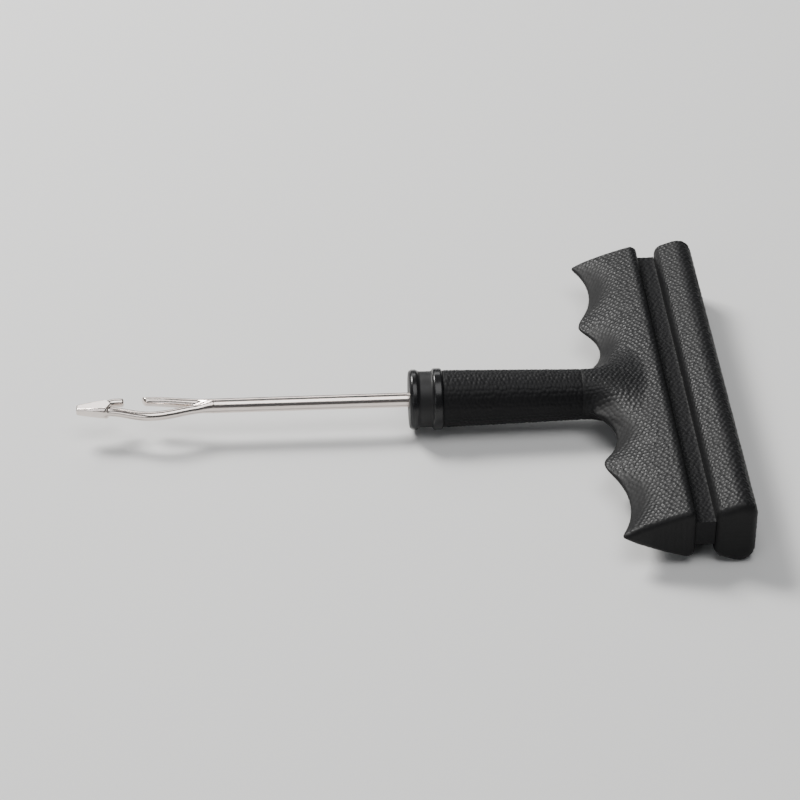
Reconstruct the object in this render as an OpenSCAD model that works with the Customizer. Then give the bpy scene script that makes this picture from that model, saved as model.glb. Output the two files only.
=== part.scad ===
/* [Overall] */
// Length from the needle's point to the palm side of the grip
tool_l = 140; // [134:1:150]
// Length of the cross grip, end to end
grip_l = 102; // [96:1:112]

/* [Finger grip] */
// Depth of the finger grip, from its ridges to the channel
finger_depth = 16; // [15:0.5:18]
// Height of the finger grip at its crest
finger_h = 11.4; // [11:0.2:13]
// How far the crest stands in front of the channel
crest_back = 1.6; // [1.2:0.2:2.4]
// Fullness of the slope from the crest to the fingers, 1 for a straight wedge and 2 for an ellipse
finger_full = 1.4; // [1.2:0.1:2]
// Depth of a finger groove below the ridges
groove_depth = 3.4; // [2.4:0.2:3.8]
// Radius of the groove beside the neck
inner_groove_r = 10.6; // [9.8:0.2:11]
// Width of the ridge between two grooves
ridge_w = 4.4; // [3:0.2:5]

/* [Channel and palm pad] */
// Width of the channel between the finger grip and the palm pad
channel_w = 4; // [3:0.5:5]
// Height across the core at the channel's floor
land_h = 7.6; // [7:0.2:8.4]
// Depth of the palm pad
palm_depth = 8.5; // [8:0.25:10]
// Height of the palm pad
palm_h = 14.8; // [14.6:0.2:16.4]
// Lean of the palm pad's broad faces towards the fingers, in degrees
palm_lean = 17; // [8:1:20]
// Radius of the round where the pad meets the palm
palm_r = 3.7; // [3:0.1:4]
// Radius of the rounded corners of the palm pad in plan
palm_corner_r = 3; // [2:0.5:4]

/* [Neck and collar] */
// Diameter of the neck behind the collar
neck_front_d = 12.2; // [11.8:0.2:12.8]
// Diameter of the neck where it enters the finger grip
neck_rear_d = 10.8; // [10:0.2:11.4]
// Length of the collar
collar_l = 7.1; // [6.5:0.1:8]
// Diameter over the collar's rear rim
collar_d = 13.4; // [13:0.2:14.4]
// Depth of the band between the collar's rims
band_depth = 0.6; // [0.3:0.1:0.8]

/* [Needle] */
// Length of needle that stands out of the collar
needle_reach = 72; // [68:1:78]
// Diameter of the needle's shank
needle_d = 3.2; // [3:0.1:3.6]
// Length of the shank inside the socket
tail_l = 25; // [20:1:28]
// Depth of the flat that the set screw bears on
flat_depth = 0.45; // [0.3:0.05:0.6]
// Length of the point
point_l = 6.6; // [6:0.2:7.4]
// Diameter across the shoulder of the point
point_d = 4.2; // [3.8:0.2:4.6]
// Distance from the tip to the fork at the back of the eye
fork_x = 27.5; // [26.5:0.5:29]
// Diameter of a tine
tine_d = 2; // [1.7:0.05:2.1]
// Distance of the bowed tine's middle from the needle's axis
bow_y = 3.2; // [3:0.1:3.4]
// Distance of the free tine's end from the needle's axis
free_y = 2.4; // [2.2:0.1:2.6]

/* [Socket and fasteners] */
// Diameter of the socket's head
head_d = 9.4; // [9:0.1:9.8]
// Diameter of the socket's stem
stem_d = 7; // [6.6:0.2:7.6]
// Distance across the flats that stop the stem from turning
stem_flats = 6; // [5.6:0.1:6.2]
// Radial running clearance round the needle and the set screw
run_gap = 0.05; // [0.03:0.01:0.08]
// Outside diameter of the thread on the socket's tail
tail_thread_d = 4; // [3:0.5:4]
// Distance across the flats of the nut
nut_af = 7; // [6:0.5:7]
// Height of the nut
nut_h = 3.2; // [2.4:0.2:3.2]
// Diameter of the washer
washer_d = 9; // [8:0.5:9]
// Thickness of the washer
washer_t = 0.8; // [0.6:0.1:1]
// Outside diameter of the set screw's thread
screw_d = 3; // [2.5:0.5:3]
// Length of the set screw
screw_l = 4.8; // [4.4:0.1:4.9]
// Distance across the flats of the set screw's hexagon
screw_hex = 1.5; // [1.3:0.1:1.5]

/* [Hidden] */
$fn = 96;
eps = 0.01;

// Stations along X: the tip points to -X, the palm side to +X, and the box is centred on the origin.
tip_x = -tool_l / 2;
palm_x = tool_l / 2;
pad_x = palm_x - palm_depth;
grip_back_x = pad_x - channel_w;
crest_x = grip_back_x - crest_back;
nose_x = grip_back_x - finger_depth;
collar_x = tip_x + needle_reach;
neck_x = collar_x + collar_l;
bottom_x = nose_x + groove_depth;
inner_x = bottom_x - inner_groove_r;
inner_y = neck_rear_d / 2 + inner_groove_r;
throat_x = nose_x - 2;

// The core inside the cross grip.
web_x = nose_x + 8;
web_h = 4.8;
spigot_d = 8.4;
spigot_end_x = web_x + 2;
core_l = grip_l - 6;
land_inset = 1;
boss_neck_d = 6.8;
boss_d = 11.6;
seat_x = pad_x + 1.8;
boss_back_x = seat_x + washer_t + nut_h + 0.6;
rail_x = pad_x + 1.8;
rail_back_x = pad_x + 4.2;
rail_l = grip_l - 14;
rail_stem_h = 5.2;
rail_head_h = 8.8;
key_d = 4;
key_y = [14, 38];

// The socket and its fasteners.
front_wall = 1.2;
front_gap = 0.4;
hole_gap = 0.4;
head_x = collar_x + front_wall;
flat_x = head_x + 0.3;
tail_x = nose_x - 4;
tail_end_x = boss_back_x - 0.2;
bore_end_x = collar_x + tail_l + 0.6;
screw_x = collar_x + collar_l / 2 + 0.15;
screw_top = needle_d / 2 - flat_depth + run_gap;

// The needle's eye.
shoulder_x = tip_x + point_l;
fork_at = tip_x + fork_x;
bow_x = tip_x + 16.2;
free_end_x = tip_x + 14.6;
hook_end_x = tip_x + 10.1;
root_y = 0.5;
hook_y = free_y - 0.2;
tine_overlap = 1.5;
point_overlap = 0.5;

// Points of a circular arc, from angle a0 to angle a1.
function arc(cx, cy, r, a0, a1, n) =
    [for (i = [0 : n]) let (a = a0 + (a1 - a0) * i / n) [cx + r * cos(a), cy + r * sin(a)]];

// A solid of revolution about the X axis, from an outline of [x, r] points.
module turned(outline) {
    rotate([90, 0, 90])
        rotate_extrude()
            polygon([for (p = outline) [p[1], p[0]]]);
}

// A bar of a constant X-Z section along Y, centred on the needle's axis.
module bar(length) {
    rotate([90, 0, 0])
        linear_extrude(height = length, center = true)
            children();
}

module rod(d, x0, x1) {
    translate([x0, 0, 0])
        rotate([0, 90, 0])
            cylinder(d = d, h = x1 - x0);
}

// Height of the finger grip above the middle plane, a fraction t of the way from the crest to the nose.
function slope(t) = finger_h / 2 * pow(1 - pow(t, finger_full), 1 / finger_full);

// Section of the finger grip: a wedge that is thin at the fingers and rounded over at the channel.
module finger_section() {
    n = 16;
    run = crest_x - nose_x;
    half = finger_h / 2;
    edge_r = crest_back - 0.1;
    top = [for (i = [0 : n]) let (t = sin(90 * i / n)) [crest_x - run * t, slope(t)]];
    polygon(concat(
        arc(grip_back_x - edge_r, half - edge_r, edge_r, 0, 90, 6),
        top,
        [for (i = [n - 1 : -1 : 0]) [top[i][0], -top[i][1]]],
        arc(grip_back_x - edge_r, edge_r - half, edge_r, -90, 0, 6)
    ));
}

// Plan of the finger grip: two grooves on each side of the neck, with a ridge between them.
module finger_plan() {
    inner_edge = inner_y + sqrt(pow(inner_groove_r, 2) - pow(nose_x - inner_x, 2));
    outer_edge = inner_edge + ridge_w;
    outer_half = (grip_l / 2 - outer_edge) / 2;
    outer_r = (pow(outer_half, 2) + pow(groove_depth, 2)) / (2 * groove_depth);
    difference() {
        union() {
            translate([nose_x, -grip_l / 2])
                square([finger_depth, grip_l]);
            translate([throat_x, -inner_y])
                square([finger_depth, 2 * inner_y]);
        }
        for (side = [-1, 1]) {
            translate([inner_x, side * inner_y])
                circle(r = inner_groove_r);
            translate([bottom_x - outer_r, side * (outer_edge + outer_half)])
                circle(r = outer_r);
        }
    }
}

// The stiff moulding inside and behind the finger grip, as one solid without its bore.
module core_body() {
    turned([[neck_x, 0], [neck_x, neck_front_d / 2], [throat_x, neck_rear_d / 2],
            [throat_x, spigot_d / 2], [spigot_end_x, spigot_d / 2], [spigot_end_x, 0]]);
    difference() {
        translate([web_x, -core_l / 2, -web_h / 2])
            cube([pad_x - web_x, core_l, web_h]);
        for (side = [-1, 1], y = key_y)
            translate([(web_x + grip_back_x) / 2, side * y, -web_h])
                cylinder(d = key_d, h = 2 * web_h);
    }
    translate([grip_back_x, land_inset - grip_l / 2, -land_h / 2])
        cube([channel_w, grip_l - 2 * land_inset, land_h]);
}

// The rail that the palm pad grips, a narrow stem with a wider head, and the boss round the nut.
module core_rail() {
    translate([pad_x - eps, -rail_l / 2, -rail_stem_h / 2])
        cube([rail_x - pad_x + 2 * eps, rail_l, rail_stem_h]);
    translate([rail_x, -rail_l / 2, -rail_head_h / 2])
        cube([rail_back_x - rail_x, rail_l, rail_head_h]);
    turned([[pad_x - eps, 0], [pad_x - eps, boss_neck_d / 2], [pad_x + 0.3, boss_neck_d / 2],
            [pad_x + 1.6, boss_d / 2], [boss_back_x, boss_d / 2], [boss_back_x, 0]]);
}

module handle_core() {
    color("#1c1c1e")
        difference() {
            union() {
                core_body();
                core_rail();
            }
            stem_shape();
            rod(tail_thread_d + hole_gap, tail_x - eps, palm_x);
            rod(washer_d + hole_gap, seat_x, palm_x);
        }
}

module finger_grip() {
    throat_h = web_h + 1.2;
    color("#26272a")
        difference() {
            union() {
                intersection() {
                    bar(grip_l)
                        finger_section();
                    finger_block();
                }
                intersection() {
                    translate([throat_x, -inner_y, -throat_h / 2])
                        cube([web_x - throat_x, 2 * inner_y, throat_h]);
                    finger_block();
                }
                rod(neck_rear_d, throat_x, crest_x - 2);
            }
            core_body();
        }
}

// The finger plan as an upright block, taller than the grip.
module finger_block() {
    translate([0, 0, -finger_h])
        linear_extrude(height = 2 * finger_h)
            finger_plan();
}

// Section of the palm pad: the broad faces lean towards the fingers, with a full round at the palm.
module palm_section() {
    front_r = 1.5;
    rear_z = palm_h / 2 - palm_r;
    front_z = palm_h / 2 - tan(palm_lean) * (palm_depth - palm_r - front_r) - front_r / cos(palm_lean);
    polygon(concat(
        arc(palm_x - palm_r, rear_z, palm_r, 0, 90, 12),
        arc(pad_x + front_r, front_z, front_r, 90 + palm_lean, 180, 6),
        arc(pad_x + front_r, -front_z, front_r, 180, 270 - palm_lean, 6),
        arc(palm_x - palm_r, -rear_z, palm_r, 270, 360, 12)
    ));
}

// Plan of the palm pad, with small flats at the channel and rounded corners at the palm.
module palm_plan() {
    flat = 1;
    end_y = grip_l / 2;
    y = end_y - palm_corner_r;
    polygon(concat(
        [[pad_x, end_y - flat], [pad_x, flat - end_y], [pad_x + flat, -end_y]],
        arc(palm_x - palm_corner_r, -y, palm_corner_r, -90, 0, 8),
        arc(palm_x - palm_corner_r, y, palm_corner_r, 0, 90, 8),
        [[pad_x + flat, end_y]]
    ));
}

module palm_pad() {
    color("#26272a")
        difference() {
            intersection() {
                bar(grip_l)
                    palm_section();
                translate([0, 0, -palm_h])
                    linear_extrude(height = 2 * palm_h)
                        palm_plan();
            }
            core_rail();
        }
}

// The collar: two rims and a band, a bore for the needle and a pocket for the socket's head.
module neck_collar() {
    rim = collar_d / 2;
    front_rim = rim - 0.15;
    band = rim - band_depth;
    bore = needle_d / 2 + front_gap;
    rim_l = 2.1;
    front_r = 1.1;
    slope = 0.3;
    edge = 0.2;
    color("#1a1a1c")
        difference() {
            turned(concat(
                [[collar_x, bore]],
                arc(collar_x + front_r, front_rim - front_r, front_r, 180, 90, 6),
                [[collar_x + rim_l - slope, front_rim], [collar_x + rim_l, band],
                 [neck_x - rim_l, band], [neck_x - rim_l + slope, rim], [neck_x - edge, rim],
                 [neck_x, rim - edge], [neck_x, head_d / 2], [head_x, head_d / 2], [head_x, bore]]
            ));
            translate([screw_x, 0, -collar_d])
                cylinder(d = screw_d + hole_gap, h = collar_d);
        }
}

// The socket's stem, with the two flats that stop it from turning in the core.
module stem_shape() {
    intersection() {
        rod(stem_d, neck_x - eps, tail_x);
        translate([neck_x - 1, -stem_flats / 2, -stem_d])
            cube([tail_x - neck_x + 2, stem_flats, 2 * stem_d]);
    }
}

module needle_socket() {
    color("#8d9094")
        difference() {
            union() {
                rod(head_d, head_x, neck_x);
                stem_shape();
                rod(tail_thread_d, tail_x - eps, tail_end_x);
            }
            rod(needle_d + 2 * run_gap, head_x - eps, bore_end_x);
            translate([screw_x, 0, -head_d])
                cylinder(d = screw_d + 2 * run_gap, h = head_d);
        }
}

module socket_washer() {
    color("#a9abae")
        difference() {
            rod(washer_d, seat_x, seat_x + washer_t);
            rod(tail_thread_d + hole_gap, seat_x - eps, seat_x + washer_t + eps);
        }
}

module socket_nut() {
    nut_x = seat_x + washer_t;
    color("#a9abae")
        difference() {
            translate([nut_x, 0, 0])
                rotate([0, 90, 0])
                    cylinder(d = nut_af / cos(30), h = nut_h, $fn = 6);
            rod(tail_thread_d, nut_x - eps, nut_x + nut_h + eps);
        }
}

module set_screw() {
    hex_depth = 1.6;
    color("#3a3b3e")
        translate([screw_x, 0, -screw_top])
            mirror([0, 0, 1])
                difference() {
                    cylinder(d = screw_d, h = screw_l);
                    translate([0, 0, screw_l - hex_depth])
                        cylinder(d = screw_hex / cos(30), h = hex_depth + eps, $fn = 6);
                }
}

// A round bar swept in plan along points, with a diameter for each point.
module swept(points, sizes, sides = 16) {
    last = len(points) - 1;
    heading = [for (i = [0 : last])
        let (d = points[min(i + 1, last)] - points[max(i - 1, 0)]) d / norm(d)];
    rings = [for (i = [0 : last], k = [0 : sides - 1])
        let (a = 360 * k / sides, r = sizes[i] / 2, side = r * cos(a))
            [points[i][0] - heading[i][1] * side, points[i][1] + heading[i][0] * side, r * sin(a)]];
    walls = [for (i = [0 : last - 1], k = [0 : sides - 1])
        let (n = (k + 1) % sides, a = i * sides, b = a + sides)
            each [[a + k, b + n, a + n], [a + k, b + k, b + n]]];
    start = [for (k = [0 : sides - 1]) k];
    end = [for (k = [sides - 1 : -1 : 0]) last * sides + k];
    polyhedron(points = rings, faces = concat([start], walls, [end]), convexity = 4);
}

// Eases from 0 to 1 as t goes from 0 to 1, level at both ends.
function ease(t) = (1 - cos(180 * min(max(t, 0), 1))) / 2;

// Evenly spaced values from a to b.
function between(a, b, n) = [for (i = [0 : n]) a + (b - a) * i / n];

// Diameters along a tine that ends blunt.
function blunt(n) = [for (i = [0 : n]) tine_d * (i == n ? 0.4 : i == n - 1 ? 0.85 : 1)];

// Distance of the bowed tine's middle from the needle's axis.
function bow_offset(x) = bow_y + (root_y - bow_y)
    * ease(x > bow_x ? (x - bow_x) / (fork_at - bow_x) : (bow_x - x) / (bow_x - shoulder_x));

module bowed_tine() {
    stations = between(fork_at + tine_overlap, shoulder_x - point_overlap, 28);
    swept([for (x = stations) [x, -bow_offset(x)]], [for (x = stations) tine_d]);
}

module free_tine() {
    n = 12;
    stations = between(fork_at + tine_overlap, free_end_x, n);
    swept([for (x = stations)
              [x, root_y + (free_y - root_y) * ease((fork_at - x) / (fork_at - free_end_x))]],
          blunt(n));
}

// The stub behind the point, which holds the strip in the eye.
module hook() {
    n = 6;
    rise_l = 3;
    stations = between(shoulder_x - point_overlap, hook_end_x, n);
    swept([for (x = stations) [x, root_y + (hook_y - root_y) * ease((x - shoulder_x) / rise_l)]],
          blunt(n));
}

module point() {
    tip_r = 1;
    edge = 0.4;
    back_l = 0.9;
    turned([[tip_x, 0], [tip_x, tip_r - edge], [tip_x + edge, tip_r],
            [shoulder_x - edge, point_d / 2], [shoulder_x, point_d / 2],
            [shoulder_x + back_l, point_d / 2 - back_l], [shoulder_x + back_l, 0]]);
}

module needle() {
    color("#d9d4cf") {
        difference() {
            rod(needle_d, fork_at, collar_x + tail_l);
            translate([flat_x, -needle_d, -needle_d])
                cube([collar_x + tail_l - flat_x + eps, 2 * needle_d, needle_d / 2 + flat_depth]);
        }
        translate([fork_at, 0, 0])
            sphere(d = needle_d);
        point();
        bowed_tine();
        free_tine();
        hook();
    }
}

handle_core();
finger_grip();
palm_pad();
neck_collar();
needle_socket();
socket_washer();
socket_nut();
set_screw();
needle();
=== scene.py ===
"""Looks for the tyre plug insertion tool. Shapes are worked out in millimetres and stored in metres."""
import itertools
import math

import bmesh
import bpy
import numpy as np
from mathutils import Matrix, Vector


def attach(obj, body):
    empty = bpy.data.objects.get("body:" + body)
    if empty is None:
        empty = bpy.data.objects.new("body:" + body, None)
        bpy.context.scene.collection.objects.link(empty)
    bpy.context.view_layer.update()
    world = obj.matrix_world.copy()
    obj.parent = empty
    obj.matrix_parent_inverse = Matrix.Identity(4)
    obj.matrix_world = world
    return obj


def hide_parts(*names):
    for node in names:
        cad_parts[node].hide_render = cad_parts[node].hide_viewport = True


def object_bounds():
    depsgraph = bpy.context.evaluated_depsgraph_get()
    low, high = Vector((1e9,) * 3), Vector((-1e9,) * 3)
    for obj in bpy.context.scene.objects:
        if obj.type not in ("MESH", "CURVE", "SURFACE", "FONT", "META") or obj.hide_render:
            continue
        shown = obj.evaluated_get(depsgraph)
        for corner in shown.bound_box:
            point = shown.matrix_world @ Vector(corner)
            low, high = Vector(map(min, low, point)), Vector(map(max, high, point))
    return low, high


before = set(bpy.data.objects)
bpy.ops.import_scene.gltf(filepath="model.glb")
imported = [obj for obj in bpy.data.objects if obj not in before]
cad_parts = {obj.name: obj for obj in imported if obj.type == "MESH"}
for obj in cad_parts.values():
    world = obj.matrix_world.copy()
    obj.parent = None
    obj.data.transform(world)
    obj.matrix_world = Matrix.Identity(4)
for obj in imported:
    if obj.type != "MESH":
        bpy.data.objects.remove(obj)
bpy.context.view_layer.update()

MM = 0.001
SAME_POINT = 1e-7  # metres
SLIVER = 2e-5  # metres
TINY = 1e-9

# Stations along X, in millimetres, as in the CAD.
TIP_X = -70.0
COLLAR_X = 2.0
NECK_X = 9.1
TAIL_END_X = 27.0
THROAT_X = 39.5
WEB_X = 49.5
GRIP_BACK_X = 57.5
PAD_X = 61.5
PALM_X = 70.0
GRIP_HALF = 51.0


# ---------------------------------------------------------------- fields

def round_max(a, b, r):
    """Intersection of two fields, with the edge between them rounded to radius r."""
    return np.minimum(np.maximum(a, b), -r) + np.hypot(np.maximum(a + r, 0), np.maximum(b + r, 0))


def round_min(a, b, r):
    """Union of two fields, with a fillet of radius r between them."""
    return np.maximum(np.minimum(a, b), r) - np.hypot(np.maximum(r - a, 0), np.maximum(r - b, 0))


def ease(t):
    t = np.clip(t, 0, 1)
    return (1 - np.cos(np.pi * t)) / 2


def step_up(a, b, t):
    """Goes smoothly from 0 where t is a to 1 where t is b."""
    t = np.clip((t - a) / (b - a), 0, 1)
    return t * t * (3 - 2 * t)


# ---------------------------------------------------------------- meshing

def gradient(field, p):
    e = 1e-3
    x, y, z = p.T
    return np.stack([field(x + e, y, z) - field(x - e, y, z),
                     field(x, y + e, z) - field(x, y - e, z),
                     field(x, y, z + e) - field(x, y, z - e)], 1) / (2 * e)


def normals(field, p):
    normal = gradient(field, p)
    return normal / np.maximum(np.linalg.norm(normal, axis=1), TINY)[:, None]


def settle(field, p, limit, rounds=3):
    """Moves points onto the zero level of the field, by no more than the limit in each round."""
    flattest = 1e-4
    for _ in range(rounds):
        g = gradient(field, p)
        move = field(*p.T) / np.maximum((g * g).sum(1), flattest)
        shift = g * move[:, None]
        size = np.linalg.norm(shift, axis=1)
        shift *= (np.minimum(size, limit) / np.maximum(size, TINY))[:, None]
        p = p - shift
    return p


def surface_net(field, low, high, step):
    """Quads on the zero level of the field, spread evenly and pulled onto it."""
    margin, passes, share = 2, 2, 0.6
    axes = [a - margin * step + step * np.arange(int((b - a) / step) + 2 * margin + 2)
            for a, b in zip(low, high)]
    value = field(*np.meshgrid(*axes, indexing="ij", sparse=True))
    inside = value < 0
    shape = [n - 1 for n in value.shape]
    corners = list(itertools.product((0, 1), repeat=3))
    count = np.zeros(shape, np.int8)
    for c in corners:
        count += inside[c[0]:c[0] + shape[0], c[1]:c[1] + shape[1], c[2]:c[2] + shape[2]]
    cells = np.argwhere((count > 0) & (count < len(corners)))
    index = np.full(shape, -1)
    index[tuple(cells.T)] = np.arange(len(cells))

    # One point in each cell that the surface crosses, at the mean of the crossings on its edges.
    total, hits = np.zeros((len(cells), 3)), np.zeros(len(cells))
    for a in corners:
        for axis in range(3):
            if a[axis]:
                continue
            b = list(a)
            b[axis] = 1
            fa, fb = value[tuple((cells + a).T)], value[tuple((cells + b).T)]
            cross = (fa < 0) != (fb < 0)
            p = (cells + a).astype(float)
            p[:, axis] += np.where(cross, fa / np.where(cross, fa - fb, 1), 0)
            total += p * cross[:, None]
            hits += cross
    points = total / hits[:, None] * step + [a[0] for a in axes]

    # One quad round each grid edge that the surface crosses.
    quads = []
    for axis in range(3):
        u, v = (axis + 1) % 3, (axis + 2) % 3
        ahead = [slice(None)] * 3
        behind = [slice(None)] * 3
        ahead[axis], behind[axis] = slice(1, None), slice(None, -1)
        edge = np.argwhere(inside[tuple(ahead)] != inside[tuple(behind)])
        edge = edge[(edge[:, u] > 0) & (edge[:, v] > 0) & (edge[:, u] < shape[u]) & (edge[:, v] < shape[v])]
        eu, ev = np.eye(3, dtype=int)[u], np.eye(3, dtype=int)[v]
        quad = np.stack([index[tuple((edge - s).T)] for s in (eu + ev, ev, 0 * eu, eu)], 1)
        flip = ~inside[tuple(edge.T)]
        quad[flip] = quad[flip][:, ::-1]
        quads.append(quad)
    quads = np.concatenate(quads)

    points = settle(field, points, step / 2)
    links = np.concatenate([quads[:, [i, (i + 1) % 4]] for i in range(4)])
    degree = np.bincount(links[:, 0], minlength=len(points))[:, None]
    for _ in range(passes):
        around = np.stack([np.bincount(links[:, 0], points[links[:, 1], k], len(points))
                           for k in range(3)], 1) / degree
        normal = normals(field, points)
        shift = around - points
        shift -= normal * (shift * normal).sum(1)[:, None]
        points = settle(field, points + share * shift, step / 2, 2)
    return points, quads


ROW = math.sqrt(3) / 2  # from one row of cells to the next, in pitches
TABLE = 4096  # random cells before they repeat, a power of two
HASH_ALONG, HASH_ROW = 73856093, 19349663
CELL_R, VALLEY_W = 0.56, 0.36  # in pitches
DOME_SHARE, EDGE_SHARE = 0.55, 0.45
LOWEST_CELL, CELL_SPREAD = 0.72, 0.28


def pebbles(u, v, pitch, seed, jitter=0.55):
    """Height from 0, in the valleys, to 1, on the tops, of a grain of rounded cells laid out over u and v."""
    table = np.random.default_rng(seed).random((TABLE, 3))
    a, b = u / pitch, v / (pitch * ROW)
    row0 = np.floor(b).astype(np.int64)
    near = np.full(len(u), 9.0)
    second = near.copy()
    size = near.copy()
    for down in (-1, 0, 1):
        row = row0 + down
        shift = 0.5 * (row & 1)
        first = np.floor(a - shift).astype(np.int64)
        for along in (-1, 0, 1):
            key = ((first + along) * HASH_ALONG ^ row * HASH_ROW) & (TABLE - 1)
            du = first + along + 0.5 + shift + jitter * (table[key, 0] - 0.5) - a
            dv = (row + 0.5 + jitter * (table[key, 1] - 0.5) - b) * ROW
            d = np.hypot(du, dv)
            size = np.where(d < near, table[key, 2], size)
            second = np.minimum(second, np.maximum(near, d))
            near = np.minimum(near, d)
    dome = np.clip(1 - (near / CELL_R) ** 2, 0, 1)
    edge = step_up(0.0, VALLEY_W, second - near)
    return (DOME_SHARE * dome + EDGE_SHARE * edge) * (LOWEST_CELL + CELL_SPREAD * size)


def make_mesh(name, points, faces, grain=None, field=None):
    """An object in the scene. The grain becomes an attribute, and a field gives exact normals."""
    mesh = bpy.data.meshes.new(name)
    mesh.from_pydata((points * MM).tolist(), [], faces.tolist() if hasattr(faces, "tolist") else faces)
    if grain is not None:
        layer = mesh.attributes.new("grain", "FLOAT", "POINT")
        layer.data.foreach_set("value", grain.astype(np.float32))
    mesh.polygons.foreach_set("use_smooth", [True] * len(mesh.polygons))
    mesh.update()
    if field is not None:
        mesh.normals_split_custom_set_from_vertices(normals(field, points).tolist())
    ob = bpy.data.objects.new(name, mesh)
    bpy.context.scene.collection.objects.link(ob)
    return ob


def weld(ob, reach):
    """Merges points that lie closer together than reach, in metres."""
    mesh = bmesh.new()
    mesh.from_mesh(ob.data)
    bmesh.ops.remove_doubles(mesh, verts=mesh.verts, dist=reach)
    mesh.to_mesh(ob.data)
    mesh.free()


def combine(ob, others, operation):
    """Applies exact booleans with the other objects, removes them, and closes the slivers along the cuts."""
    for other in others:
        mod = ob.modifiers.new("cut", "BOOLEAN")
        mod.solver = "EXACT"
        mod.operation = operation
        mod.object = other
        bpy.context.view_layer.update()
        graph = bpy.context.evaluated_depsgraph_get()
        mesh = bpy.data.meshes.new_from_object(ob.evaluated_get(graph))
        ob.modifiers.clear()
        old, ob.data = ob.data, mesh
        bpy.data.meshes.remove(old)
        old = other.data
        bpy.data.objects.remove(other)
        bpy.data.meshes.remove(old)
    weld(ob, SLIVER)
    return ob


def block(x0, x1, half_y, half_z):
    """A closed box about the X axis, used as a cutter."""
    corners = np.array([[x, y, z] for x in (x0, x1) for y in (-half_y, half_y) for z in (-half_z, half_z)])
    faces = [[0, 1, 3, 2], [4, 6, 7, 5], [0, 4, 5, 1], [2, 3, 7, 6], [0, 2, 6, 4], [1, 5, 7, 3]]
    return make_mesh("cutter", corners, faces)


def turned(outline, sides=64, axis="X"):
    """A closed solid of revolution from [x, r] points, with the first and last point on the axis."""
    angles = 2 * np.pi * np.arange(sides) / sides
    points, faces = [[outline[0][0], 0, 0]], []
    rings = outline[1:-1]
    for x, r in rings:
        points += [[x, r * math.cos(a), r * math.sin(a)] for a in angles]
    points.append([outline[-1][0], 0, 0])
    last = len(points) - 1
    for k in range(sides):
        n = (k + 1) % sides
        faces.append([0, 1 + n, 1 + k])
        for i in range(len(rings) - 1):
            a = 1 + i * sides
            faces.append([a + k, a + n, a + sides + n, a + sides + k])
        a = 1 + (len(rings) - 1) * sides
        faces.append([a + k, a + n, last])
    points = np.array(points, float)
    if axis == "Z":
        points = points[:, [1, 2, 0]]
    return make_mesh("cutter", points, faces)


def rod(x0, x1, r, sides=64, axis="X"):
    return turned([[x0, 0], [x0, r], [x1, r], [x1, 0]], sides, axis)


# ---------------------------------------------------------------- shader nodes

class Nodes:
    """A short way to write a node tree."""

    def __init__(self, name):
        self.material = bpy.data.materials.new(name)
        self.material.use_nodes = True
        self.tree = self.material.node_tree
        self.shader = self.tree.nodes["Principled BSDF"]
        self.place = self.tree.nodes.new("ShaderNodeTexCoord").outputs["Object"]

    def link(self, source, target):
        if isinstance(source, (int, float, tuple)):
            target.default_value = source
        else:
            self.tree.links.new(source, target)

    def scaled(self, scale):
        node = self.tree.nodes.new("ShaderNodeMapping")
        node.inputs["Scale"].default_value = scale
        self.link(self.place, node.inputs["Vector"])
        return node.outputs[0]

    def noise(self, scale, detail=3.0, roughness=0.55, vector=None):
        node = self.tree.nodes.new("ShaderNodeTexNoise")
        node.inputs["Scale"].default_value = scale
        node.inputs["Detail"].default_value = detail
        node.inputs["Roughness"].default_value = roughness
        self.link(vector or self.place, node.inputs["Vector"])
        return node.outputs["Fac"]

    def cells(self, scale):
        node = self.tree.nodes.new("ShaderNodeTexVoronoi")
        node.inputs["Scale"].default_value = scale
        self.link(self.place, node.inputs["Vector"])
        return node.outputs["Distance"]

    def attribute(self, name):
        node = self.tree.nodes.new("ShaderNodeAttribute")
        node.attribute_name = name
        return node.outputs["Fac"]

    def math(self, operation, a, b):
        node = self.tree.nodes.new("ShaderNodeMath")
        node.operation = operation
        self.link(a, node.inputs[0])
        self.link(b, node.inputs[1])
        return node.outputs[0]

    def fit(self, value, from_low, from_high, low, high):
        node = self.tree.nodes.new("ShaderNodeMapRange")
        self.link(value, node.inputs["Value"])
        for key, v in (("From Min", from_low), ("From Max", from_high), ("To Min", low), ("To Max", high)):
            node.inputs[key].default_value = v
        return node.outputs[0]

    def blend(self, factor, a, b):
        node = self.tree.nodes.new("ShaderNodeMix")
        node.data_type = "RGBA"
        self.link(factor, node.inputs["Factor"])
        for colour, target in ((a, node.inputs[6]), (b, node.inputs[7])):
            self.link((*colour, 1.0) if isinstance(colour, tuple) else colour, target)
        return node.outputs[2]

    def bump(self, height, distance, strength=1.0, normal=None):
        node = self.tree.nodes.new("ShaderNodeBump")
        node.inputs["Strength"].default_value = strength
        node.inputs["Distance"].default_value = distance
        self.link(height, node.inputs["Height"])
        if normal is not None:
            self.link(normal, node.inputs["Normal"])
        return node.outputs[0]

    def finish(self, **inputs):
        for key, value in inputs.items():
            self.link(value, self.shader.inputs[key.replace("_", " ")])
        return self.material


# In the materials, noise scales are per metre and bump distances are in metres.

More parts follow.
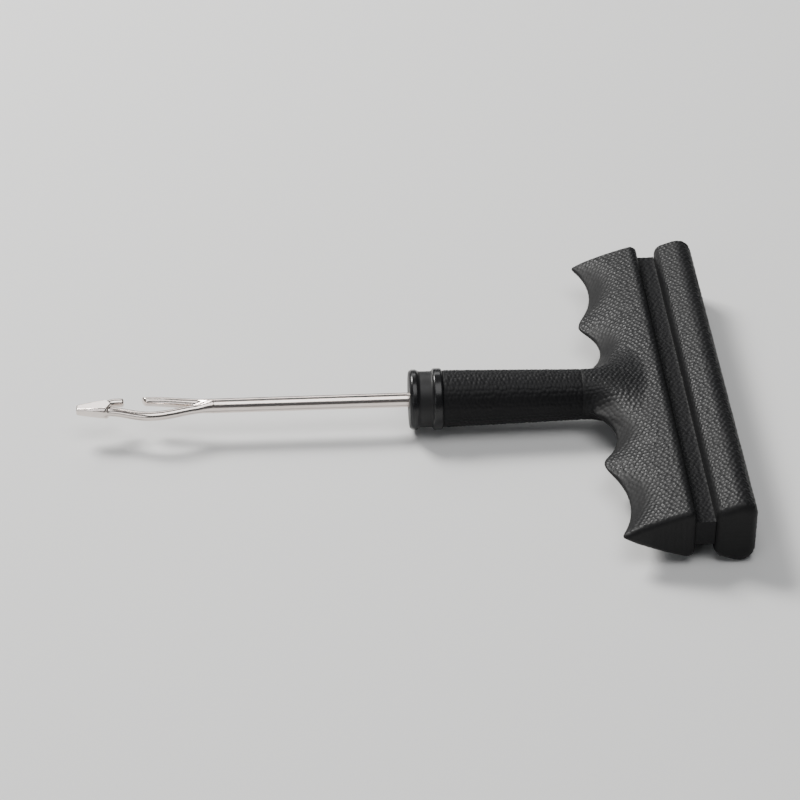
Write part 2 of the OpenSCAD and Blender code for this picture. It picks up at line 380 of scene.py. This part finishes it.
def rubber():
    """The tops of the grain are a little lighter and glossier than its valleys; the darker valleys are
    painted shade.
    """
    n = Nodes("black_rubber")
    grain = n.attribute("grain")
    patch = n.noise(90.0, 3.0)
    fine = n.noise(1900.0, 4.0, 0.6)
    shaded_valley, lit_crest, dusty = (0.0060, 0.0060, 0.0064), (0.0100, 0.0102, 0.0112), (0.0135, 0.0134, 0.0136)
    # Painted shade: the colour is darkest in the grain's valleys and where the cover gives little grain, and
    # lighter on the grain's tops.
    tone = n.blend(grain, shaded_valley, lit_crest)
    tone = n.blend(n.fit(patch, 0.35, 0.75, 0.0, 0.5), tone, dusty)
    rough = n.math("ADD", n.fit(grain, 0.15, 0.8, 0.55, 0.35), n.fit(patch, 0.3, 0.7, -0.03, 0.05))
    return n.finish(Base_Color=tone, Roughness=rough, Specular_IOR_Level=0.21,
                    Normal=n.bump(fine, 0.00004, 0.6))


def core_plastic():
    n = Nodes("black_core_plastic")
    patch = n.noise(120.0, 3.0)
    grain = n.cells(1250.0)
    fine = n.noise(2600.0, 3.0)
    tone = n.blend(patch, (0.0065, 0.0065, 0.0070), (0.0110, 0.0110, 0.0118))
    rough = n.fit(patch, 0.3, 0.7, 0.44, 0.54)
    coarse = n.bump(grain, 0.00008, 0.5)
    return n.finish(Base_Color=tone, Roughness=rough, Specular_IOR_Level=0.15,
                    Normal=n.bump(fine, 0.00004, 0.6, coarse))


def collar_plastic():
    """Glossy on the rims, where the grain attribute is 1, and duller on the band between them."""
    n = Nodes("gloss_black_plastic")
    patch = n.noise(220.0, 4.0)
    fine = n.noise(1500.0, 3.0)
    turned_lines = n.noise(1.0, 2.0, 0.5, n.scaled((2600.0, 60.0, 60.0)))
    rims = n.attribute("grain")
    tone = n.blend(patch, (0.0070, 0.0070, 0.0075), (0.0120, 0.0120, 0.0128))
    rough = n.math("ADD", n.fit(rims, 0.0, 1.0, 0.50, 0.24), n.fit(patch, 0.3, 0.7, -0.04, 0.06))
    coarse = n.bump(turned_lines, 0.00001, 0.5)
    return n.finish(Base_Color=tone, Roughness=rough, Specular_IOR_Level=0.36,
                    Normal=n.bump(fine, 0.00002, 0.35, coarse))


def plated_steel():
    """Warm bright plating, with faint lines drawn along the needle."""
    n = Nodes("plated_steel")
    drawn = n.noise(1.0, 4.0, 0.6, n.scaled((60.0, 5200.0, 5200.0)))
    patch = n.noise(260.0, 3.0)
    tone = n.blend(patch, (0.72, 0.63, 0.575), (0.84, 0.775, 0.735))
    tone = n.blend(n.fit(drawn, 0.55, 0.8, 0.0, 0.35), tone, (0.50, 0.39, 0.335))
    rough = n.fit(drawn, 0.3, 0.75, 0.14, 0.26)
    return n.finish(Base_Color=tone, Metallic=1.0, Roughness=rough, Normal=n.bump(drawn, 0.000006, 0.35))


def machined_steel(name, light, dark, rough_low, rough_high):
    n = Nodes(name)
    cut = n.noise(1.0, 3.0, 0.6, n.scaled((3400.0, 300.0, 300.0)))
    patch = n.noise(340.0, 3.0)
    tone = n.blend(n.math("MULTIPLY", cut, patch), light, dark)
    rough = n.fit(patch, 0.3, 0.7, rough_low, rough_high)
    return n.finish(Base_Color=tone, Metallic=1.0, Roughness=rough, Normal=n.bump(cut, 0.00001, 0.5))


# ---------------------------------------------------------------- grained rubber

GRAIN_PITCH = 1.08
GRAIN_H = 0.21
GRAIN_JITTER = 0.42


def grained(name, field, low, high, step, seed, unroll, cover):
    """A rubber skin on the field, raised and sunk by as much of the grain as cover gives each point."""
    points, quads = surface_net(field, low, high, step)
    normal = normals(field, points)
    cells = pebbles(*unroll(points), GRAIN_PITCH, seed, GRAIN_JITTER)
    amount = cover(points, normal)
    points = points + normal * (GRAIN_H * (cells - 0.5) * amount)[:, None]
    return make_mesh(name, points, quads, cells * amount)


# ---------------------------------------------------------------- finger grip

WEDGE_APEX = 41.0
CREST_X, CREST_H = 55.6, 5.75
WEDGE_BEND = 0.25
FRONT_EDGE_R = 0.9
GRIP_BACK_R = 2.1
GRIP_END_R = 1.3
GROOVES = ((34.3, 16.0, 10.6), (24.05, 39.6, 20.85))  # centre x, centre y, radius
GROOVE_EDGE_R = 0.7
WALL_RISE = 0.77
WALL_SWELLS = ((0.8, 5.0, 6.0), (-0.27, 26.0, 4.5))  # extra rise, at y, spread

# The throat takes the neck's round section into the wedge. It starts under the neck's sleeve.
THROAT_R = 5.49
SLEEVE_LAP = 0.5
LAP_DROP, LAP_END = 0.4, 0.7
WIDEN, WIDEN_FROM, WIDEN_TO = 11.0, 40.5, 57.0
SINK, SINK_FROM, SINK_TO = 0.75, 43.0, 55.0
FILLET_LEAST, FILLET_MORE = 0.3, 1.9
FILLET_FROM, FILLET_TO = 46.0, 55.0

# The core's web and spigot, which the grip is moulded round, and the key posts through the web.
WEB_HALF, WEB_H = 48, 2.4
SPIGOT_R, SPIGOT_REACH = 4.2, 2
KEY_STATIONS = (-38, -14, 14, 38)
KEY_R, KEY_REACH = 2, 4


def finger_upper(x, ay, z):
    """Everything under the top of the finger grip: a thin wedge, scooped by the grooves for the fingers."""
    s = (x - WEDGE_APEX) / (CREST_X - WEDGE_APEX)
    height = CREST_H * s * (1 + WEDGE_BEND - WEDGE_BEND * s)
    tilt = CREST_H * (1 + WEDGE_BEND - 2 * WEDGE_BEND * s) / (CREST_X - WEDGE_APEX)
    upper = (z - height) / np.sqrt(1 + tilt * tilt)
    rise = WALL_RISE
    for more, at, spread in WALL_SWELLS:
        rise = rise + more * np.exp(-((ay - at) / spread) ** 2)
    for cx, cy, r in GROOVES:
        wall = np.hypot(x - cx, ay - cy) - r
        upper = round_max(upper, (z - rise * wall) / np.sqrt(1 + rise * rise), GROOVE_EDGE_R)
    return upper


def finger_field(x, y, z):
    ay = abs(y)
    body = round_max(finger_upper(x, ay, z), finger_upper(x, ay, -z), FRONT_EDGE_R)
    lap = THROAT_R - LAP_DROP * step_up(THROAT_X, THROAT_X - LAP_END, x)
    wide = lap + WIDEN * step_up(WIDEN_FROM, WIDEN_TO, x)
    tall = lap - SINK * step_up(SINK_FROM, SINK_TO, x)
    throat = (np.hypot(y / wide, z / tall) - 1) * tall
    body = round_min(body, throat, FILLET_LEAST + FILLET_MORE * (1 - step_up(FILLET_FROM, FILLET_TO, x)))
    body = round_max(body, x - GRIP_BACK_X, GRIP_BACK_R)
    body = round_max(body, ay - GRIP_HALF, GRIP_END_R)
    return np.maximum(body, THROAT_X - SLEEVE_LAP - x)


def finger_unroll(p):
    """Lays the top and the underside out flat, with the neck's sides opened out."""
    x, y = p[:, 0], p[:, 1]
    round_to, flat_from, widest = 43.0, 52.0, 5.2
    stretch, below = 1.06, 400.3
    c = np.clip(y, -widest, widest)
    around = (NECK_END_R * np.arcsin(c / NECK_END_R) - c) * (1 - step_up(round_to, flat_from, x))
    return x * stretch, y + around + np.where(p[:, 2] < 0, below, 0)


def finger_cover(p, n):
    """Full grain on the broad faces, some on the neck's sides, and less towards channel, ends and throat."""
    x, ay = p[:, 0], abs(p[:, 1])
    least, on_sides, lost_at_channel = 0.25, 0.75, 0.6
    broad = step_up(0.74, 0.92, abs(n[:, 2]))
    sides = step_up(9.0, 5.5, ay) * on_sides
    channel = 1 - lost_at_channel * step_up(GRIP_BACK_X - 1.0, GRIP_BACK_X - 0.2, x)
    ends = 1 - step_up(GRIP_HALF - 1.2, GRIP_HALF - 0.2, ay)
    throat = step_up(THROAT_X - 0.3, THROAT_X + 0.6, x)
    return np.maximum(least, np.maximum(broad, sides) * channel * ends) * throat


def build_finger_grip():
    ob = grained("finger_grip_rubber", finger_field,
                 (THROAT_X - SLEEVE_LAP, -GRIP_HALF, -6.2), (GRIP_BACK_X, GRIP_HALF, 6.2),
                 0.25, 11, finger_unroll, finger_cover)
    web = block(WEB_X, GRIP_BACK_X + 1, WEB_HALF, WEB_H)
    spigot = rod(THROAT_X - 1, WEB_X + SPIGOT_REACH, SPIGOT_R)
    keys = []
    for y in KEY_STATIONS:
        key = rod(-KEY_REACH, KEY_REACH, KEY_R, 48, "Z")
        key.data.transform(Matrix.Translation(Vector(((WEB_X + GRIP_BACK_X) / 2, y, 0)) * MM))
        keys.append(key)
    web = combine(web, keys, "DIFFERENCE")
    return combine(ob, [web, spigot], "DIFFERENCE")


# ---------------------------------------------------------------- palm pad

PALM_H = 7.4
PALM_R = 4.6
PALM_SWELL = 0.6
PALM_LEAN = math.tan(math.radians(20))
PALM_FRONT_R = 1.5
PALM_END_R = 1.8

# The slot for the core's rail, and the pocket for its boss with the nut.
RAIL_HALF = 44
STEM_DEPTH, STEM_H = 1.9, 2.6
HEAD_START, HEAD_DEPTH, HEAD_H = 1.8, 4.2, 4.4
BOSS_NECK_R, BOSS_NECK_END = 3.4, 0.3
BOSS_R, BOSS_START, BOSS_DEPTH = 5.8, 1.6, 6.4


def palm_field(x, y, z):
    """A bar whose broad faces lean towards the fingers, with a full round at the palm."""
    across, up = x - (PALM_X - PALM_R), abs(z) - (PALM_H - PALM_SWELL - PALM_R)
    face = (up - PALM_LEAN * across) / math.hypot(1, PALM_LEAN) - PALM_R
    section = round_max(face, PAD_X - x, PALM_FRONT_R)
    section = round_max(section, x - PALM_X, PALM_R)
    return round_max(section, abs(y) - GRIP_HALF, PALM_END_R)


def palm_unroll(p):
    """Length round the pad's section from the top, and along the pad."""
    x, z = p[:, 0] - (PAD_X + PALM_X) / 2, p[:, 2]
    knee = PALM_H - PALM_R
    turn = np.arctan2(abs(x), abs(z) - knee) * PALM_R
    reach = np.where(abs(z) > knee, turn, np.pi / 2 * PALM_R + knee - abs(z))
    reach = np.where(z < 0, np.pi * PALM_R + 2 * knee - reach, reach)
    return np.sign(x) * reach, p[:, 1]


def palm_cover(p, n):
    """Full grain all round, less on the side towards the channel, and very little on the ends."""
    least, at_front = 0.12, 0.3
    ends = 1 - step_up(GRIP_HALF - 1.6, GRIP_HALF - 0.3, abs(p[:, 1]))
    front = 1 - step_up(0.55, 0.9, -n[:, 0])
    return np.maximum(least, ends * np.maximum(front, at_front))


def build_palm_pad():
    ob = grained("palm_pad_rubber", palm_field, (PAD_X, -GRIP_HALF, -PALM_H), (PALM_X, GRIP_HALF, PALM_H),
                 0.26, 23, palm_unroll, palm_cover)
    stem = block(PAD_X - 1, PAD_X + STEM_DEPTH, RAIL_HALF, STEM_H)
    head = block(PAD_X + HEAD_START, PAD_X + HEAD_DEPTH, RAIL_HALF, HEAD_H)
    boss = turned([[PAD_X - 1, 0], [PAD_X - 1, BOSS_NECK_R], [PAD_X + BOSS_NECK_END, BOSS_NECK_R],
                   [PAD_X + BOSS_START, BOSS_R], [PAD_X + BOSS_DEPTH, BOSS_R], [PAD_X + BOSS_DEPTH, 0]])
    return combine(ob, [stem, head, boss], "DIFFERENCE")


# ---------------------------------------------------------------- neck and core

NECK_START_R, NECK_END_R = 6.1, 5.4
NECK_PITCH = 1.0
NECK_GRAIN_H = 0.15
SLEEVE_LIFT = 0.02
SLEEVE_BORE_R = 4.6

FLOOR_H = 2.8
FLOOR_RISE, FLOOR_POWER = 0.12, 6
FLOOR_GRAIN_H = 0.12


def neck_radius(x):
    return NECK_START_R + (NECK_END_R - NECK_START_R) * (x - NECK_X) / (THROAT_X - NECK_X)


def neck_sleeve():
    """A tube with the neck's grain, in which the CAD's plain neck is buried."""
    step, sides = 0.2, 190
    stations = np.linspace(NECK_X + 0.03, THROAT_X - 0.01, round((THROAT_X - NECK_X) / step))
    angles = 2 * np.pi * np.arange(sides) / sides
    x, a = (grid.ravel() for grid in np.meshgrid(stations, angles, indexing="ij"))
    along, mean_r, across = 1.15, 5.7, 0.8
    cells = pebbles(x * along, a * mean_r * across, NECK_PITCH, 5)
    fade = step_up(NECK_X, NECK_X + 0.8, x)
    fade *= 1 - step_up(THROAT_X - 0.6, THROAT_X - 0.05, x)
    r = neck_radius(x) + SLEEVE_LIFT + NECK_GRAIN_H * cells * fade
    outer = np.stack([x, r * np.cos(a), r * np.sin(a)], 1)
    bore = SLEEVE_BORE_R * np.cos(angles), SLEEVE_BORE_R * np.sin(angles)
    inner = np.concatenate([np.stack([np.full(sides, s), *bore], 1) for s in (stations[0], stations[-1])])
    rows, k = len(stations), np.arange(sides)
    n = (k + 1) % sides
    faces = [np.stack([i * sides + k, i * sides + n, (i + 1) * sides + n, (i + 1) * sides + k], 1)
             for i in range(rows - 1)]
    first, last, bottom, top = 0, (rows - 1) * sides, rows * sides, (rows + 1) * sides
    faces.append(np.stack([bottom + k, bottom + n, first + n, first + k], 1))
    faces.append(np.stack([last + k, last + n, top + n, top + k], 1))
    faces.append(np.stack([top + k, top + n, bottom + n, bottom + k], 1))
    return make_mesh("sleeve", np.concatenate([outer, inner]), np.concatenate(faces))


def channel_cutter(side):
    """Hollows the channel's floor to a shallow grained curve, on the upper side or, for -1, the lower one."""
    lid_z, rows, columns = 5.0, 19, 420
    xs = np.linspace(GRIP_BACK_X - 0.2, PAD_X + 0.2, rows)
    ys = np.linspace(-GRIP_HALF - 0.5, GRIP_HALF + 0.5, columns)
    x, y = np.meshgrid(xs, ys, indexing="ij")
    middle, half = (GRIP_BACK_X + PAD_X) / 2, (PAD_X - GRIP_BACK_X) / 2
    cells = pebbles(x.ravel(), y.ravel(), GRAIN_PITCH, 31 + side).reshape(x.shape)
    z = FLOOR_H + FLOOR_RISE * abs((x - middle) / half) ** FLOOR_POWER + FLOOR_GRAIN_H * (cells - 0.5)
    points = np.stack([x, y, z], 2).reshape(-1, 3)
    lid = points.copy()
    lid[:, 2] = lid_z
    points = np.concatenate([points, lid])
    at = np.arange(rows * columns).reshape(rows, columns)
    top = at + rows * columns
    faces = [np.stack([at[:-1, :-1], at[:-1, 1:], at[1:, 1:], at[1:, :-1]], -1).reshape(-1, 4),
             np.stack([top[:-1, :-1], top[1:, :-1], top[1:, 1:], top[:-1, 1:]], -1).reshape(-1, 4)]
    rim = np.concatenate([at[0, :-1], at[:-1, -1], at[-1, :0:-1], at[:0:-1, 0]])
    after = np.roll(rim, -1)
    faces.append(np.stack([rim, rim + rows * columns, after + rows * columns, after], 1))
    faces = np.concatenate(faces)
    if side < 0:
        points = points * [1, 1, -1]
        faces = faces[:, ::-1]
    return make_mesh("cutter", points, faces)


def build_core():
    """A copy of the CAD core, with a grained neck and a hollowed channel."""
    sleeve = neck_sleeve()
    core = bpy.data.objects.new("handle_core_moulding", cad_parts["handle_core"].data.copy())
    bpy.context.scene.collection.objects.link(core)
    core.data.materials.clear()
    weld(core, SAME_POINT)
    return combine(combine(core, [sleeve], "UNION"), [channel_cutter(1), channel_cutter(-1)], "DIFFERENCE")


# ---------------------------------------------------------------- collar and set screw

COLLAR_R, COLLAR_EDGE_R = 6.1, 0.3
FRONT_RIM_W, FRONT_RIM_R, FRONT_RIM_EDGE_R = 2.0, 6.55, 0.75
REAR_RIM_W, REAR_RIM_R, REAR_RIM_EDGE_R = 2.1, 6.7, 0.5
RIM_FILLET_R = 0.35
GLOSS_FROM_R, GLOSS_TO_R = 6.15, 6.45
POCKET_X, POCKET_R = 3.2, 4.7
COLLAR_BORE_R = 2.0
SCREW_HOLE_R, SCREW_HOLE_EDGE_R = 1.7, 0.15

SCREW_X, SCREW_TOP, SCREW_L, SCREW_R = 5.7, -1.2, 4.8, 1.5
THREAD_PITCH, THREAD_DEPTH, THREAD_EASE = 0.5, 0.28, 0.02
SCREW_CHAMFER = 0.35
HEXAGON_HALF, HEXAGON_DEPTH = 0.75, 1.6


def ring_band(x, r, low, high, radius, edge):
    return round_max(round_max(low - x, x - high, edge), r - radius, edge)


def collar_field(x, y, z):
    r = np.hypot(y, z)
    body = ring_band(x, r, COLLAR_X, NECK_X, COLLAR_R, COLLAR_EDGE_R)
    front = ring_band(x, r, COLLAR_X, COLLAR_X + FRONT_RIM_W, FRONT_RIM_R, FRONT_RIM_EDGE_R)
    rear = ring_band(x, r, NECK_X - REAR_RIM_W, NECK_X, REAR_RIM_R, REAR_RIM_EDGE_R)
    ring = round_min(round_min(body, front, RIM_FILLET_R), rear, RIM_FILLET_R)
    bore = np.minimum(np.maximum(r - POCKET_R, POCKET_X - x), r - COLLAR_BORE_R)
    hole = np.maximum(np.hypot(x - SCREW_X, y) - SCREW_HOLE_R, z)
    return round_max(np.maximum(ring, -bore), -hole, SCREW_HOLE_EDGE_R)


def build_collar():
    points, quads = surface_net(collar_field, (COLLAR_X, -6.8, -6.8), (NECK_X, 6.8, 6.8), 0.16)
    rims = step_up(GLOSS_FROM_R, GLOSS_TO_R, np.hypot(points[:, 1], points[:, 2]))
    return make_mesh("neck_collar_ring", points, quads, rims, collar_field)


def screw_field(x, y, z):
    """The grub screw, with a helical thread and, in its lower end, a hexagon socket."""
    dx = x - SCREW_X
    r, angle = np.hypot(dx, y), np.arctan2(y, dx)
    phase = np.mod((SCREW_TOP - z) / THREAD_PITCH + angle / (2 * np.pi), 1.0)
    thread = SCREW_R - THREAD_EASE - THREAD_DEPTH * step_up(0.1, 0.9, abs(2 * phase - 1))
    low = SCREW_TOP - SCREW_L
    body = np.maximum(r - thread, np.maximum(z - SCREW_TOP, low - z))
    chamfer = r + abs(z - SCREW_TOP + SCREW_L / 2) - (SCREW_R + SCREW_L / 2 - SCREW_CHAMFER)
    body = np.maximum(body, chamfer / math.sqrt(2))
    hexagon = np.maximum(abs(dx), abs(dx) / 2 + abs(y) * math.sqrt(3) / 2) - HEXAGON_HALF
    return np.maximum(body, -np.maximum(hexagon, z - (low + HEXAGON_DEPTH)))


def build_set_screw():
    points, quads = surface_net(screw_field, (SCREW_X - 1.6, -1.6, SCREW_TOP - SCREW_L),
                                (SCREW_X + 1.6, 1.6, SCREW_TOP), 0.07)
    return make_mesh("set_screw_threaded", points, quads)


# ---------------------------------------------------------------- needle

SHANK_R = 1.6
FORK_X = -42.5
SHOULDER_X = -63.4
SHANK_END_X = FORK_X + 2.0
TINE_START_X = FORK_X + 2.1
SPLIT_FROM_X, SPLIT_TO_X = FORK_X + 2.2, FORK_X - 1.6

# The bowed tine swings out to one side of the eye and comes back to the point.
BOW_X, BOW_Y = -53.8, -3.15
BOWED_R = 1.0
BOW_START_X, BOW_START_Y = FORK_X + 1.0, -0.80
BOW_END_X, BOW_END_Y = SHOULDER_X - 0.3, -0.9
BOWED_END_X = SHOULDER_X - 0.6

# The free tine ends in a slanted cut.
FREE_R, FREE_TAPER = 1.09, 0.1
TAPER_FROM_X, TAPER_TO_X = -50.0, -56.0
FREE_START_X, FREE_START_Y = FORK_X + 1.5, 0.84
FREE_END_X, FREE_END_Y = FORK_X - 13.5, 2.35
CUT_X, CUT_Y, CUT_SLANT, CUT_R = -55.7, 2.4, 0.5, 0.45

# The hook stands behind the point, on the other side from the bowed tine.
HOOK_R = 0.95
HOOK_START_X, HOOK_START_Y = SHOULDER_X - 1.2, 1.2
HOOK_RISE_X, HOOK_Y = SHOULDER_X + 1.8, 2.25
HOOK_ROOT_X, HOOK_END_X, HOOK_END_R = SHOULDER_X - 0.9, -59.8, 0.5

# The point is ground flat above and below. Each pair is a value at the tip and what the shoulder adds to it.
POINT_HALF_W, POINT_HALF_H, POINT_RADIUS = (1.0, 1.05), (0.80, 0.68), (1.22, 0.88)
POINT_EDGE_R, POINT_TIP_R = 0.45, 0.35
BARB_X, BARB_Y = SHOULDER_X + 0.1, 1.6
JOIN_R = 0.3

# The flat under the tail, for the set screw.
FLAT_X, FLAT_Z = 3.5, -1.15


def tine(x, y, z, centre, slope, radius):
    return np.hypot((y - centre) / np.sqrt(1 + slope * slope), z) - radius


def eased_line(x, x0, x1, y0, y1):
    """Centre line that eases from y0 at x0 to y1 at x1, and its slope."""
    t = (x - x0) / (x1 - x0)
    slope = (y1 - y0) * np.pi / 2 * np.sin(np.pi * t) / (x1 - x0)
    return y0 + (y1 - y0) * ease(t), np.where((t > 0) & (t < 1), slope, 0)


def bowed_tine(x, y, z, split):
    back, back_slope = eased_line(x, BOW_X, BOW_START_X, BOW_Y, BOW_START_Y)
    ahead, ahead_slope = eased_line(x, BOW_END_X, BOW_X, BOW_END_Y, BOW_Y)
    rear = x > BOW_X
    bowed = tine(x, y, z, np.where(rear, back, ahead) * split, np.where(rear, back_slope, ahead_slope),
                 SHANK_R + (BOWED_R - SHANK_R) * split)
    return np.maximum(bowed, np.maximum(x - TINE_START_X, BOWED_END_X - x))


def free_tine(x, y, z, split):
    centre, slope = eased_line(x, FREE_START_X, FREE_END_X, FREE_START_Y, FREE_END_Y)
    radius = SHANK_R + (FREE_R - SHANK_R) * split - FREE_TAPER * step_up(TAPER_FROM_X, TAPER_TO_X, x)
    free = tine(x, y, z, centre * split, slope, radius)
    cut = ((CUT_X - x) - CUT_SLANT * (y - CUT_Y)) / math.hypot(1, CUT_SLANT)
    return round_max(np.maximum(free, x - TINE_START_X), cut, CUT_R)


def hook_field(x, y, z):
    centre, slope = eased_line(x, HOOK_START_X, HOOK_RISE_X, HOOK_START_Y, HOOK_Y)
    hook = tine(x, y, z, centre, slope, HOOK_R)
    return round_max(np.maximum(hook, HOOK_ROOT_X - x), x - HOOK_END_X, HOOK_END_R)


def point_field(x, y, z):
    t = (x - TIP_X) / (SHOULDER_X - TIP_X)
    half_w, half_h, radius = (tip + more * t for tip, more in (POINT_HALF_W, POINT_HALF_H, POINT_RADIUS))
    # The factors make up for the slopes of the faces, so that the roundings keep their radii.
    point = round_max((abs(y) - half_w) * 0.987, (abs(z) - half_h) * 0.995, POINT_EDGE_R)
    point = np.maximum(point, np.hypot(y, z) - radius)
    point = round_max(point, TIP_X - x, POINT_TIP_R)
    shoulder = (x - BARB_X) * 0.86 + (abs(y) - BARB_Y) * 0.5
    return round_max(point, shoulder, JOIN_R)


def needle_field(x, y, z):
    """The shank narrows into two tines, one with the point and its hook, and the tail has a flat below."""
    shank = np.maximum(np.hypot(y, z) - SHANK_R, SHANK_END_X - x)
    split = step_up(SPLIT_FROM_X, SPLIT_TO_X, x)
    bowed = bowed_tine(x, y, z, split)
    crotch_least, crotch_more = 0.03, 0.45
    fork = round_min(free_tine(x, y, z, split), bowed, crotch_least + crotch_more * split * split)
    head = round_min(point_field(x, y, z), hook_field(x, y, z), JOIN_R)
    whole = np.minimum(np.minimum(shank, fork), round_min(head, bowed, JOIN_R))
    flat = np.maximum(FLAT_X - x, z - FLAT_Z)
    return np.maximum(np.maximum(whole, -flat), x - TAIL_END_X)


def build_needle():
    points, quads = surface_net(needle_field, (TIP_X, -4.4, -2.3), (TAIL_END_X, 3.9, 2.3), 0.14)
    return make_mesh("needle_split_eye", points, quads, field=needle_field)


# ---------------------------------------------------------------- assembly

def dress(ob, material, body, node):
    ob.data.materials.clear()
    ob.data.materials.append(material)
    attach(ob, body)
    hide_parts(node)


rubber_material = rubber()
dress(build_finger_grip(), rubber_material, "handle", "finger_grip")
dress(build_palm_pad(), rubber_material, "handle", "palm_pad")
dress(build_core(), core_plastic(), "handle", "handle_core")
dress(build_collar(), collar_plastic(), "handle", "neck_collar")
black_steel = machined_steel("black_oxide_steel", (0.075, 0.075, 0.08), (0.035, 0.035, 0.038), 0.34, 0.5)
dress(build_set_screw(), black_steel, "set_screw", "set_screw")
dress(build_needle(), plated_steel(), "needle", "needle")

# The pieces hidden inside the handle keep their CAD shapes.
turned_steel = machined_steel("turned_steel", (0.60, 0.60, 0.61), (0.42, 0.42, 0.43), 0.25, 0.4)
zinc_steel = machined_steel("zinc_steel", (0.70, 0.71, 0.73), (0.50, 0.51, 0.53), 0.28, 0.42)
hidden = {"needle_socket": turned_steel, "socket_washer": zinc_steel, "socket_nut": zinc_steel}
for node, material in hidden.items():
    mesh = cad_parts[node].data
    mesh.materials.clear()
    mesh.materials.append(material)


# ---------------------------------------------------------------- floor, light and camera

def build_floor():
    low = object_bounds()[0]
    grid = bmesh.new()
    bmesh.ops.create_grid(grid, x_segments=4, y_segments=4, size=6.0)
    mesh = bpy.data.meshes.new("floor")
    grid.to_mesh(mesh)
    grid.free()
    floor = bpy.data.objects.new("floor", mesh)
    floor.location.z = low[2]
    bpy.context.scene.collection.objects.link(floor)
    n = Nodes("pale_floor")
    tone = n.blend(n.noise(3.0, 2.0), (0.72, 0.72, 0.715), (0.76, 0.76, 0.755))
    texture = n.bump(n.noise(900.0), 0.0001, 0.1)
    mesh.materials.append(n.finish(Base_Color=tone, Roughness=0.75, Normal=texture))


def area_light(name, direction, distance, size, power, tint=(1.0, 1.0, 1.0)):
    """A rectangular light that faces the origin from a direction and a distance."""
    light = bpy.data.lights.new(name, "AREA")
    light.shape = "RECTANGLE"
    light.size, light.size_y = size
    light.energy = power
    light.color = tint
    ob = bpy.data.objects.new(name, light)
    way = Vector(direction).normalized()
    ob.location = way * distance
    ob.rotation_euler = way.to_track_quat("Z", "Y").to_euler()
    bpy.context.scene.collection.objects.link(ob)


def build_studio():
    world = bpy.data.worlds.new("studio")
    world.use_nodes = True
    world.node_tree.nodes["Background"].inputs["Color"].default_value = (0.86, 0.90, 0.95, 1.0)
    world.node_tree.nodes["Background"].inputs["Strength"].default_value = 0.10
    bpy.context.scene.world = world
    area_light("key", (-0.46, 0.53, 0.72), 0.95, (0.34, 0.30), 13.0, (1.0, 0.99, 0.97))
    area_light("back", (-0.06, 0.82, 0.56), 1.1, (0.5, 0.30), 1.5)
    area_light("top", (0.10, -0.25, 1.0), 1.3, (0.9, 0.9), 9.0)
    area_light("fill", (-0.6, -0.9, 0.55), 1.3, (0.6, 0.5), 2.0, (0.97, 0.98, 1.0))


def build_camera():
    """Stands beside the needle and above it, and faces the origin."""
    camera = bpy.data.objects.new("camera", bpy.data.cameras.new("camera"))
    camera.location = (-0.0267, -0.4907, 0.3490)
    camera.rotation_euler = camera.location.to_track_quat("Z", "Y").to_euler()
    camera.data.lens = 125.0
    camera.data.sensor_width = 36.0
    camera.data.clip_start = 0.01
    bpy.context.scene.collection.objects.link(camera)
    bpy.context.scene.camera = camera


build_floor()
build_studio()
build_camera()
